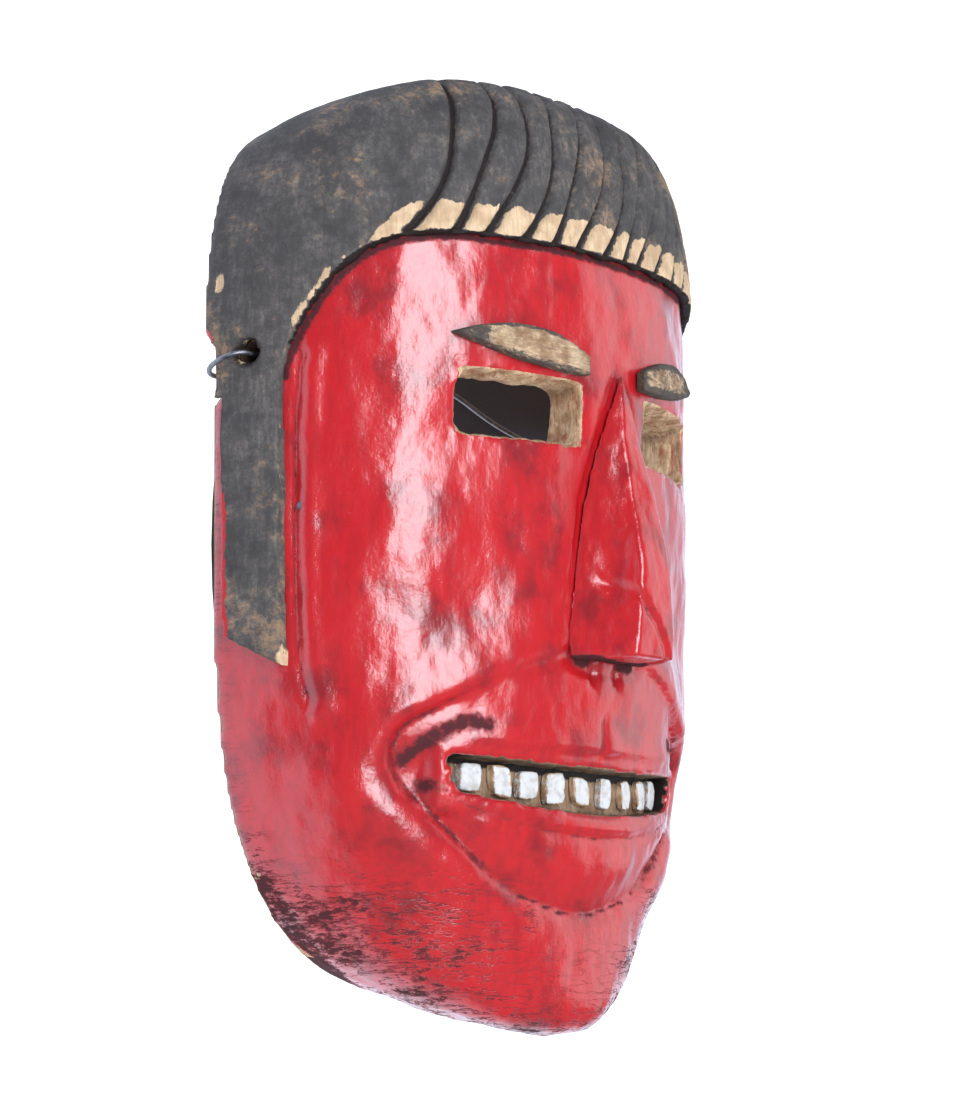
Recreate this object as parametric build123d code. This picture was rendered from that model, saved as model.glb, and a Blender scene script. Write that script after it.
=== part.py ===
from build123d import *
import os
from math import copysign, cos, hypot, pi, radians, sin, tan

# A carved wooden dance mask. +Z is up, the face looks along -Y, and the flat back of the rim
# lies in the plane y = 0 with the origin in its middle. All lengths are millimetres.

# ---- The carved block ----------------------------------------------------------------------
HALF_WIDTH = 82.5           # half the width of the rim at eye level
HALF_HEIGHT = 120.0         # middle of the rim to crown or chin, without the hair
BULGE = 2.15                # exponent of the horizontal outline, 2 is an ellipse
BROW_DEPTH = 66.5           # front of the forehead, in front of the rim plane
CHEEK_DEPTH = 64.0          # the same at the cheeks and the nose's foot
MOUTH_DEPTH = 60.0          # the same at the mouth
CHIN_DEPTH = 52.0           # the same at the chin
BROW_LEVEL = 50.0           # heights between which those depths blend
CHEEK_LEVELS = (10.0, -30.0)
CHIN_LEVEL = -95.0
WIDTH_START_UP = 14.0       # height above which the width draws in
WIDTH_START_DOWN = 20.0     # height below which the width draws in
WIDTH_POWER_UP = 4.2
WIDTH_POWER_DOWN = 3.1
DEPTH_START_UP = 78.0       # height above which the crown rounds over
DEPTH_START_DOWN = -89.0    # height below which the chin rounds under
DEPTH_POWER_UP = 2.0
DEPTH_POWER_DOWN = 4.9
CROWN_FORWARD = 46.0        # how far in front of the rim plane the crown's last section is centred
CHIN_FORWARD = 17.0
CROWN_TILT = 0.07           # rise of the crown towards the front, per mm
CHIN_TILT = -0.317          # fall of the chin towards the front, per mm
TILT_START = 40.0           # distance from the middle height at which the tilt begins
TILT_PIVOT = 25.0           # distance in front of the rim plane at which the tilt changes nothing
SECTIONS = 19               # horizontal sections of the loft
LAST_ANGLE = 83.0           # latitude of the first and last section, degrees
OUTLINE_POINTS = 24         # points of each section's outline

# ---- The hollow ----------------------------------------------------------------------------
WALL = 12.0                 # wood around the hollow
END_WALL = 20.0             # wood above and below the hollow

# ---- Hair, sideburns, brows ----------------------------------------------------------------
HAIR_RISE = 3.0             # hair and sideburns stand this far off the face
# Y and Z down the hair's front edge, from the fringe's end to the sideburn
HAIRLINE = [(-22.0, 38.0), (-23.5, 46.0), (-30.0, 59.0), (-38.5, 70.5), (-50.0, 76.5), (-62.0, 77.5)]
SIDEBURN_BACK = 6.0         # strip of bare cheek left behind the sideburn
SIDEBURN_END_FRONT = -33.0
SIDEBURN_END_BACK = -25.0
BROW_RISE = 3.2
# X and Z of the outline's corners on the front view
BROW_TIP = (52.0, 52.0)
BROW_TOP = (32.0, 55.5)
BROW_FOOT = (34.0, 46.5)
BROW_INNER_X = 12.0
BROW_INNER_TOP = 50.0
BROW_INNER_FOOT = 45.0

# ---- Eyes, nose, mouth ---------------------------------------------------------------------
EYE_X_RIGHT = -30.0         # the mask's right eye; the carver set the eyes a little off the middle
EYE_X_LEFT = 35.5
EYE_Z = 35.0
EYE_WIDTH = 37.0
EYE_HEIGHT = 15.5
EYE_CORNER = 3.0
# height, half-width at the face, half-width of the flat front, height above the face
NOSE_SECTIONS = [(48.0, 1.2, 0.6, 0.6), (38.0, 4.6, 2.4, 3.6), (24.0, 9.2, 3.9, 7.5),
                 (6.0, 13.2, 5.4, 13.0), (-14.0, 16.2, 7.2, 16.0), (-29.0, 15.5, 8.2, 15.6)]
NOSE_LEAN = 4.5             # sideways shift of the bridge from the tip
NOSTRIL_X = 5.0
NOSTRIL_RADIUS = 1.7
NOSTRIL_DEPTH = 7.0
MOUTH_Z = -62.0
MOUTH_HALF_WIDTH = 48.0
MOUTH_LIFT = 3.0            # how far the corners stand above the middle
MOUTH_UP = 5.6              # upper edge above the mouth's middle line
MOUTH_DOWN = 5.6
MOUTH_CORNER_SHARE = 0.8    # height of the mouth's ends as a share of its middle
MOUTH_RECESS = 6.0
GUM_FACE = 4.2              # depth of the bare wood's surface
TOOTH_FACE = 2.0            # depth of the teeth's surface
TOOTH_HEIGHT = 7.4
TOOTH_WIDTH = 6.0
TOOTH_CENTRES = [-39.0, -30.5, -22.5, -13.5, -3.5, 7.0, 18.0, 28.5, 38.5]

# ---- Holes, nail, wire ---------------------------------------------------------------------
HOLE_BACK = 14.0            # temple hole's axis in front of the rim plane
HOLE_Z = 47.0
HOLE_RADIUS = 3.25
NAIL_BACK = 26.0
NAIL_Z = 7.0
NAIL_HEAD_RADIUS = 1.2
NAIL_HEAD = 0.6
NAIL_SHANK_RADIUS = 0.6
NAIL_LENGTH = 8.0
WIRE_RADIUS = 0.65
WIRE_ARM = 12.6             # temple hole's axis to the wire behind the rim
WIRE_REST = -20.0           # angle of that arm below the horizontal, degrees
WIRE_FOLD = 30.0            # the wire swings this far up into the hollow
WIRE_OUT = 10.0             # and this far down and back
WIRE_STANDOFF = 3.4         # wire's centre line outside the hair
WIRE_HOOK = 8.0             # bent-over end inside the hollow
WIRE_PEAK = 12.0            # rise of the middle above the ends
# corners of the raised middle: share of the half span, share of the peak
WIRE_CORNERS = [(0.8, 0.0), (0.45, 0.36), (0.14, 1.0)]
BEND_SHARE = 0.45           # part of the shorter run that each bend takes up
STRAIGHTEST_BEND = 120.0    # largest radius of a bend
WIRE_CLEARANCE = 0.4
NOTCH_SLOPE = 3.0           # length of a notch's sloping ends, in notch depths

BIG = 4 * HALF_HEIGHT


def taper(height, start, end, power):
    """1 up to start, falling to 0 at end."""
    share = min(max((height - start) / (end - start), 0.0), 1.0)
    return (1 - share ** power) ** (1 / power)


def smooth(share):
    """0 to 1 with level ends."""
    share = min(max(share, 0.0), 1.0)
    return share * share * (3 - 2 * share)


def half_width(z):
    if z > WIDTH_START_UP:
        return HALF_WIDTH * taper(z, WIDTH_START_UP, HALF_HEIGHT, WIDTH_POWER_UP)
    return HALF_WIDTH * taper(-z, -WIDTH_START_DOWN, HALF_HEIGHT, WIDTH_POWER_DOWN)


def full_depth(z):
    """Distance of the face in front of the rim plane, before crown and chin round over."""
    levels = [(BROW_LEVEL, BROW_DEPTH), (CHEEK_LEVELS[0], CHEEK_DEPTH), (CHEEK_LEVELS[1], CHEEK_DEPTH),
              (MOUTH_Z, MOUTH_DEPTH), (CHIN_LEVEL, CHIN_DEPTH)]
    if z >= levels[0][0]:
        return levels[0][1]
    for (high, depth_high), (low, depth_low) in zip(levels, levels[1:]):
        if z >= low:
            return depth_low + (depth_high - depth_low) * smooth((z - low) / (high - low))
    return levels[-1][1]


def centre_and_depth(z):
    """Centre of a section in front of the rim plane, and half its size along Y."""
    if z > 0:
        share = taper(z, DEPTH_START_UP, HALF_HEIGHT, DEPTH_POWER_UP)
        forward = CROWN_FORWARD
    else:
        share = taper(-z, -DEPTH_START_DOWN, HALF_HEIGHT, DEPTH_POWER_DOWN)
        forward = CHIN_FORWARD
    return forward * (1 - share), full_depth(z) * share


def tilt(z):
    slope = CROWN_TILT if z > 0 else CHIN_TILT
    return slope * smooth((abs(z) - TILT_START) / (HALF_HEIGHT - TILT_START))


def section(z, width, depth, centre, slope):
    """Closed outline: half-sizes width and depth, centred at y = -centre, on a plane of that slope."""
    points = []
    for step in range(OUTLINE_POINTS):
        angle = 2 * pi * step / OUTLINE_POINTS
        x = width * copysign(abs(cos(angle)) ** (2 / BULGE), cos(angle))
        y = -centre - depth * copysign(abs(sin(angle)) ** (2 / BULGE), sin(angle))
        points.append((x, y, z + (-y - TILT_PIVOT) * slope))
    return Wire([Spline(*points, periodic=True)])


def latitudes():
    step = 2 * LAST_ANGLE / (SECTIONS - 1)
    return [radians(-LAST_ANGLE + step * index) for index in range(SECTIONS)]


def head_form(grow=0.0):
    """The closed outer form, grown or shrunk, before the flat back is cut."""
    outlines = []
    for latitude in latitudes():
        level = HALF_HEIGHT * sin(latitude)
        centre, depth = centre_and_depth(level)
        z = level * (HALF_HEIGHT + grow) / HALF_HEIGHT
        outlines.append(section(z, half_width(level) + grow, depth + grow, centre, tilt(level)))
    return Solid.make_loft(outlines)


def hollow_form():
    """The hollow, centred on the rim plane so that its sides only open towards the back."""
    outlines = []
    for latitude in latitudes():
        level = HALF_HEIGHT * sin(latitude)
        centre, depth = centre_and_depth(level)
        z = level * (HALF_HEIGHT - END_WALL) / HALF_HEIGHT
        outlines.append(section(z, half_width(level) - WALL, centre + depth - WALL, 0.0, 0.0))
    return Solid.make_loft(outlines)


def face_y(x, z):
    """Y of the face's surface at x and z."""
    centre, depth = centre_and_depth(z)
    return -centre - depth * (1 - (abs(x) / half_width(z)) ** BULGE) ** (1 / BULGE)


def side_x(y, z):
    """X of the cheek's or temple's surface on the +X side."""
    centre, depth = centre_and_depth(z)
    return half_width(z) * (1 - (abs(-y - centre) / depth) ** BULGE) ** (1 / BULGE)


def side_prism(outline):
    """Extrude a wire in the YZ plane across the whole width."""
    return extrude(make_face(outline), amount=BIG, dir=(1, 0, 0), both=True)


def front_prism(outline):
    """Extrude a wire in the XZ plane from behind the hollow's front out past the nose."""
    return extrude(make_face(outline), amount=BIG, dir=(0, -1, 0))


def in_front(x, z):
    return (x, 0, z)


def in_side(y, z):
    return (0, y, z)


def half_space(side):
    """Everything on the +X side (side = 1) or the -X side (side = -1)."""
    return Pos(side * BIG / 2, 0, 0) * Box(BIG, BIG, BIG)


def one_solid(shape):
    """The largest solid of a cut's result."""
    return max(shape.solids(), key=lambda solid: solid.volume)


behind = Pos(0, BIG / 2, 0) * Box(BIG, BIG, BIG)
block = head_form() - behind


def hair_region():
    fringe = Spline(*[in_side(y, z) for y, z in HAIRLINE])
    first_y, first_z = HAIRLINE[0]
    last_y, last_z = HAIRLINE[-1]
    border = Polyline(in_side(last_y, last_z), in_side(-BIG, last_z), in_side(-BIG, BIG),
                      in_side(BIG, BIG), in_side(BIG, first_z), in_side(first_y, first_z))
    return side_prism(fringe + border)


def temple_holes():
    return Pos(0, -HOLE_BACK, HOLE_Z) * Rot(0, 90, 0) * Cylinder(HOLE_RADIUS, BIG)


def hair_cap():
    hair = (head_form(HAIR_RISE) & hair_region()) - block - behind
    return one_solid(hair - temple_holes() - rim_notches())


def sideburn(side):
    first_y, first_z = HAIRLINE[0]
    outline = Polyline(in_side(first_y, first_z), in_side(first_y, SIDEBURN_END_FRONT),
                       in_side(-SIDEBURN_BACK, SIDEBURN_END_BACK), in_side(-SIDEBURN_BACK, first_z),
                       close=True)
    return one_solid((head_form(HAIR_RISE) & side_prism(outline) & half_space(side)) - block)


def brow(side):
    tip, top, foot = [in_front(side * x, z) for x, z in (BROW_TIP, BROW_TOP, BROW_FOOT)]
    inner_top = in_front(side * BROW_INNER_X, BROW_INNER_TOP)
    inner_foot = in_front(side * BROW_INNER_X, BROW_INNER_FOOT)
    outline = Spline(tip, top, inner_top) + Line(inner_top, inner_foot) + Spline(inner_foot, foot, tip)
    return one_solid((head_form(BROW_RISE) & front_prism(outline)) - block)


def nose_section(z, foot, front, height):
    top, bottom = NOSE_SECTIONS[0][0], NOSE_SECTIONS[-1][0]
    x = NOSE_LEAN * (z - bottom) / (top - bottom)
    face = full_depth(z)
    root = face - WALL / 2
    points = [(x - front, -face - height, z), (x + front, -face - height, z), (x + foot, -face, z),
              (x + foot, -root, z), (x - foot, -root, z), (x - foot, -face, z)]
    return Polyline(*points, close=True).wire()


def nostrils():
    z = NOSE_SECTIONS[-1][0]
    y = face_y(NOSTRIL_X, z)
    hole = Cylinder(NOSTRIL_RADIUS, 2 * NOSTRIL_DEPTH)
    return Pos(NOSTRIL_X, y, z) * hole + Pos(-NOSTRIL_X, y, z) * hole


def nose():
    wedge = Solid.make_loft([nose_section(*values) for values in NOSE_SECTIONS])
    return one_solid(wedge - block - nostrils())


def eye_openings():
    frame = Plane(origin=(0, 0, EYE_Z), x_dir=(1, 0, 0), z_dir=(0, -1, 0))
    opening = extrude(frame * RectangleRounded(EYE_WIDTH, EYE_HEIGHT, EYE_CORNER), amount=BIG)
    return Pos(EYE_X_LEFT, 0, 0) * opening + Pos(EYE_X_RIGHT, 0, 0) * opening


def mouth_arc(offset, reach):
    """An edge of the mouth: lowest in the middle, with lifted corners."""
    corner_z = MOUTH_Z + MOUTH_LIFT + MOUTH_CORNER_SHARE * offset
    return ThreePointArc(in_front(-reach, corner_z), in_front(0, MOUTH_Z + offset),
                         in_front(reach, corner_z))


def mouth_prism():
    upper = mouth_arc(MOUTH_UP, MOUTH_HALF_WIDTH)
    lower = mouth_arc(-MOUTH_DOWN, MOUTH_HALF_WIDTH - MOUTH_LIFT)
    ends = Line(upper @ 0, lower @ 0) + Line(upper @ 1, lower @ 1)
    return front_prism(upper + lower + ends)


def mouth_oval(depth):
    """Horizontal oval at this depth under the face around the mouth, at z = 0."""
    return Ellipse(half_width(MOUTH_Z) - depth, MOUTH_DEPTH - depth)


def mouth_recess():
    return mouth_prism() - Pos(0, 0, 2 * MOUTH_Z) * extrude(mouth_oval(MOUTH_RECESS), -2 * MOUTH_Z)


def gum_strip():
    plan = mouth_oval(GUM_FACE) - mouth_oval(MOUTH_RECESS)
    layer = Pos(0, 0, 2 * MOUTH_Z) * extrude(plan, -2 * MOUTH_Z)
    return one_solid(mouth_prism() & layer)


def tooth(centre_x):
    """A slab standing on the gum strip, curved like the mouth in plan."""
    z = MOUTH_Z + MOUTH_LIFT * (centre_x / MOUTH_HALF_WIDTH) ** 2
    slot = Pos(centre_x, -MOUTH_DEPTH / 2) * Rectangle(TOOTH_WIDTH, MOUTH_DEPTH)
    plan = (mouth_oval(TOOTH_FACE) - mouth_oval(GUM_FACE)) & slot
    slab = Pos(0, 0, z - TOOTH_HEIGHT / 2) * extrude(plan, TOOTH_HEIGHT)
    return one_solid(slab & mouth_prism())


def nail_axis():
    """Place on the right-hand cheek (-X side), pointing out of the wood."""
    x = side_x(-NAIL_BACK, NAIL_Z)
    out_x = x / HALF_WIDTH ** 2
    out_y = NAIL_BACK / CHEEK_DEPTH ** 2
    size = hypot(out_x, out_y)
    return Plane(origin=(-x, -NAIL_BACK, NAIL_Z), z_dir=(-out_x / size, -out_y / size, 0))


def cheek_nail():
    shank = extrude(nail_axis() * Circle(NAIL_SHANK_RADIUS), amount=-NAIL_LENGTH)
    head_disc = extrude(nail_axis() * Circle(NAIL_HEAD_RADIUS), amount=NAIL_HEAD)
    head_foot = extrude(nail_axis() * Circle(NAIL_HEAD_RADIUS), amount=-NAIL_HEAD)
    return one_solid(((head_disc + head_foot) - block) + shank)


def wire_angle(degrees):
    """Y and Z of the wire behind the rim, at an angle of its arm above the horizontal."""
    return (-HOLE_BACK + WIRE_ARM * cos(radians(degrees)), HOLE_Z + WIRE_ARM * sin(radians(degrees)))


def rim_notches():
    """Two shallow notches behind the temples in which the wire crosses the rim."""
    low_y, low_z = wire_angle(WIRE_REST - WIRE_OUT)
    high_y, high_z = wire_angle(WIRE_REST + WIRE_FOLD)
    reach = WIRE_RADIUS + WIRE_CLEARANCE
    floor = min(low_y, high_y) - reach
    slope = NOTCH_SLOPE * reach
    outline = Polyline(in_side(BIG, low_z - reach - slope), in_side(0, low_z - reach - slope),
                       in_side(floor, low_z - reach), in_side(floor, high_z + reach),
                       in_side(0, high_z + reach + slope), in_side(BIG, high_z + reach + slope),
                       close=True)
    return side_prism(outline)


def wire_points():
    """Half of the wire's corners, from the bent-over end inside to the middle of the span."""
    outside = side_x(0, HOLE_Z) + HAIR_RISE + WIRE_STANDOFF
    inside = side_x(-HOLE_BACK, HOLE_Z) - WALL - 3 * WIRE_RADIUS
    rim_y, rim_z = wire_angle(WIRE_REST)
    span = outside - WALL - WIRE_STANDOFF
    end = [(-inside, -HOLE_BACK, HOLE_Z - WIRE_HOOK), (-inside, -HOLE_BACK, HOLE_Z),
           (-outside, -HOLE_BACK, HOLE_Z), (-outside, rim_y, rim_z)]
    return end + [(-across * span, rim_y, rim_z + up * WIRE_PEAK) for across, up in WIRE_CORNERS]


def hanging_wire():
    half = wire_points()
    points = half + [(-x, y, z) for x, y, z in reversed(half)]
    radii = []
    for before, corner, after in zip(points, points[1:], points[2:]):
        run_in = Vector(*corner) - Vector(*before)
        run_out = Vector(*after) - Vector(*corner)
        turn = radians(run_in.get_angle(run_out))
        shorter = min(run_in.length, run_out.length)
        radii.append(min(BEND_SHARE * shorter / tan(turn / 2), STRAIGHTEST_BEND))
    print("wire radii", [round(radius, 1) for radius in radii])
    path = FilletPolyline(*points, radius=radii)
    profile = Plane(origin=path @ 0, z_dir=path % 0) * Circle(WIRE_RADIUS)
    wire = sweep(profile, path=path)
    print("wire volume", round(wire.volume, 1), "section x length",
          round(pi * WIRE_RADIUS ** 2 * path.length, 1))
    return one_solid(wire)


def face_shell():
    nail_bore = extrude(nail_axis() * Circle(NAIL_SHANK_RADIUS), amount=-NAIL_LENGTH)
    return one_solid(block - hollow_form() - eye_openings() - temple_holes() - mouth_recess()
                     - nostrils() - nail_bore - rim_notches())


def all_nodes():
    nodes = {
        "face_shell": face_shell(),
        "hair_cap": hair_cap(),
        "sideburn_left": sideburn(1),
        "sideburn_right": sideburn(-1),
        "brow_left": brow(1),
        "brow_right": brow(-1),
        "nose": nose(),
        "gum_strip": gum_strip(),
        "cheek_nail": cheek_nail(),
        "hanging_wire": hanging_wire(),
    }
    for number, centre_x in enumerate(TOOTH_CENTRES, start=1):
        nodes[f"tooth_{number:02d}"] = tooth(centre_x)
    return nodes


os.makedirs("parts", exist_ok=True)
for name, solid in all_nodes().items():
    export_step(solid, f"parts/{name}.step")
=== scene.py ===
"""Looks of a carved and painted wooden dance mask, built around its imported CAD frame."""
from math import cos, pi, radians, sin

import bpy
import numpy as np
from mathutils import Matrix, Vector


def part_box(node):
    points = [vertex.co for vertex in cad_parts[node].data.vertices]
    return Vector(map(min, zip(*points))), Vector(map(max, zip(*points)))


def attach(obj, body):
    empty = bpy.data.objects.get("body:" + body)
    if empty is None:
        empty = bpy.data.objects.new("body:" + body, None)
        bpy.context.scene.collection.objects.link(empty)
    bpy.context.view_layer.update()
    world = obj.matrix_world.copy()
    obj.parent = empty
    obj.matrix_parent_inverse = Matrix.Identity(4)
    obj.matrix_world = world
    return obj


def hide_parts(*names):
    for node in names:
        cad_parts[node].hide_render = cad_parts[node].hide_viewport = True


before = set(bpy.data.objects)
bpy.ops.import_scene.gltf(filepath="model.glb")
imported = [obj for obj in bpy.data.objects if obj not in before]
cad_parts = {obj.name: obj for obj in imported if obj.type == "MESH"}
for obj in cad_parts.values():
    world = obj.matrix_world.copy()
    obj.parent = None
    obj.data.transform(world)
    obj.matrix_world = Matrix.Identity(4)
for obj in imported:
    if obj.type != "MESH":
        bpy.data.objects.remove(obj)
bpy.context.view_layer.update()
MM = 0.001

# ---- Camera --------------------------------------------------------------------------------
CAMERA_AZIMUTH = -50.5
CAMERA_ELEVATION = -8.7
CAMERA_ROLL = -0.37
CAMERA_DISTANCE = 0.9
FOCAL_LENGTH = 123.6
SENSOR_WIDTH = 36.0
SHIFT = (0.0653, 0.030)


def from_angles(azimuth, elevation, distance):
    """A point round the origin: azimuth 0 is in front of the face, at -Y."""
    a, e = radians(azimuth), radians(elevation)
    return distance * Vector((sin(a) * cos(e), -cos(a) * cos(e), sin(e)))


def aim(obj, place, target=Vector((0, 0, 0)), roll=0.0):
    obj.location = place
    facing = (target - place).to_track_quat("-Z", "Y").to_matrix().to_4x4()
    obj.rotation_euler = (facing @ Matrix.Rotation(radians(roll), 4, "Z")).to_euler()


def add_camera():
    data = bpy.data.cameras.new("camera")
    data.lens = FOCAL_LENGTH
    data.sensor_fit = "HORIZONTAL"
    data.sensor_width = SENSOR_WIDTH
    data.shift_x, data.shift_y = SHIFT
    camera = bpy.data.objects.new("camera", data)
    bpy.context.scene.collection.objects.link(camera)
    aim(camera, from_angles(CAMERA_AZIMUTH, CAMERA_ELEVATION, CAMERA_DISTANCE), roll=CAMERA_ROLL)
    bpy.context.scene.camera = camera


# ---- Numpy helpers -------------------------------------------------------------------------
def smooth(share):
    share = np.clip(share, 0, 1)
    return share * share * (3 - 2 * share)


def band(distance, width):
    """1 on a line, falling smoothly to 0 at width."""
    return 1 - smooth(np.abs(distance) / width)


def rises(value, start, length):
    """0 up to start, then smoothly to 1 over length."""
    return smooth((value - start) / length)


def falls(value, start, length):
    """0 from start upwards, and smoothly to 1 as the value falls by length below it."""
    return smooth((start - value) / length)


def bell(distance, width):
    """1 at a distance of 0, falling off on both sides over about width."""
    return np.exp(-(distance / width) ** 2)


def spot(u, v, place, size):
    """1 at a place on a view, falling off all round it over about size."""
    return np.exp(-((u - place[0]) / size[0]) ** 2 - ((v - place[1]) / size[1]) ** 2)


def hashed(cells, seed):
    """A number from 0 to 1 for each lattice cell."""
    mixed = (cells[..., 0] * 73856093) ^ (cells[..., 1] * 19349663) ^ (cells[..., 2] * 83492791)
    mixed = (mixed + seed * 1013904223) & 0xFFFFFFFF
    mixed = ((mixed ^ (mixed >> 15)) * 2246822519) & 0xFFFFFFFF
    mixed = ((mixed ^ (mixed >> 13)) * 3266489917) & 0xFFFFFFFF
    return ((mixed ^ (mixed >> 16)) & 0xFFFFFF) / 0xFFFFFF


def noise(points, size, seed=0, octaves=1):
    """Smooth noise from -1 to 1; size is the grain in mm, one number or one per axis."""
    total, weight = np.zeros(len(points)), 0.0
    for octave in range(octaves):
        place = points / (np.asarray(size, float) / 2 ** octave) + 17.3 * (seed + octave)
        cell = np.floor(place).astype(np.int64)
        t = smooth(place - cell)
        value = np.zeros(len(points))
        for corner in range(8):
            step = np.array([corner & 1, corner >> 1 & 1, corner >> 2 & 1])
            share = np.prod(np.where(step, t, 1 - t), axis=1)
            value += share * hashed(cell + step, seed + octave)
        total += (2 * value - 1) / 2 ** octave
        weight += 1 / 2 ** octave
    return total / weight


def curve_through(points, steps=12):
    """A Catmull-Rom curve through the points, as a dense polyline."""
    p = np.array([points[0], *points, points[-1]], float)
    t = np.linspace(0, 1, steps, endpoint=False)[:, None]
    pieces = []
    for a, b, c, d in zip(p, p[1:], p[2:], p[3:]):
        pieces.append(0.5 * (2 * b + (c - a) * t + (2 * a - 5 * b + 4 * c - d) * t ** 2
                             + (3 * b - a - 3 * c + d) * t ** 3))
    return np.vstack([*pieces, p[-1:]])


def to_curve(u, v, points):
    """Signed distance of (u, v) from a curve (positive on its left) and the share along it."""
    line = curve_through(points)
    place = np.stack([u, v], 1)
    best = np.full(len(place), 1e9)
    side = np.ones(len(place))
    along = np.zeros(len(place))
    for index, (a, b) in enumerate(zip(line, line[1:])):
        d = b - a
        t = np.clip(((place - a) @ d) / max(d @ d, 1e-9), 0, 1)
        offset = place - a - t[:, None] * d
        distance = np.hypot(offset[:, 0], offset[:, 1])
        nearer = distance < best
        best = np.where(nearer, distance, best)
        side = np.where(nearer, np.sign(d[0] * offset[:, 1] - d[1] * offset[:, 0]), side)
        along = np.where(nearer, (index + t) / (len(line) - 1), along)
    return best * side, along


# ---- Meshes --------------------------------------------------------------------------------
class Piece:
    """A mesh copied from a CAD node, remeshed evenly, with its points in millimetres."""

    def __init__(self, node, voxel, smoothing=2):
        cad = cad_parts[node]
        self.node = node
        self.obj = bpy.data.objects.new(node + "_carved", cad.data.copy())
        bpy.context.scene.collection.objects.link(self.obj)
        remesh = self.obj.modifiers.new("even", "REMESH")
        remesh.mode = "VOXEL"
        remesh.voxel_size = voxel * MM
        relax = self.obj.modifiers.new("relax", "SMOOTH")
        relax.factor = 0.5
        relax.iterations = smoothing
        depsgraph = bpy.context.evaluated_depsgraph_get()
        mesh = bpy.data.meshes.new_from_object(self.obj.evaluated_get(depsgraph))
        self.obj.modifiers.clear()
        self.obj.data = mesh
        mesh.materials.clear()
        mesh.polygons.foreach_set("use_smooth", [True] * len(mesh.polygons))
        self.read()

    def read(self):
        mesh = self.obj.data
        count = len(mesh.vertices)
        places = np.empty(count * 3, np.float32)
        mesh.vertices.foreach_get("co", places)
        self.points = places.reshape(-1, 3).astype(float) / MM
        normals = np.empty(count * 3, np.float32)
        mesh.vertex_normals.foreach_get("vector", normals)
        self.normals = normals.reshape(-1, 3).astype(float)

    def write(self):
        places = (self.points * MM).astype(np.float32).ravel()
        self.obj.data.vertices.foreach_set("co", places)
        self.obj.data.update()
        self.read()

    def push(self, amount):
        """Move the surface outwards by amount millimetres, one number per point."""
        self.points = self.points + self.normals * np.asarray(amount)[:, None]
        self.write()

    def paint(self, name, values):
        """Store a mask from 0 to 1 for the material."""
        layer = self.obj.data.attributes.new(name, "FLOAT", "POINT")
        layer.data.foreach_set("value", np.clip(values, 0, 1).astype(np.float32))

    def finish(self, material, slot, body="mask"):
        self.obj.data.materials.append(material)
        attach(self.obj, body)
        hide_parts(self.node)


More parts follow.
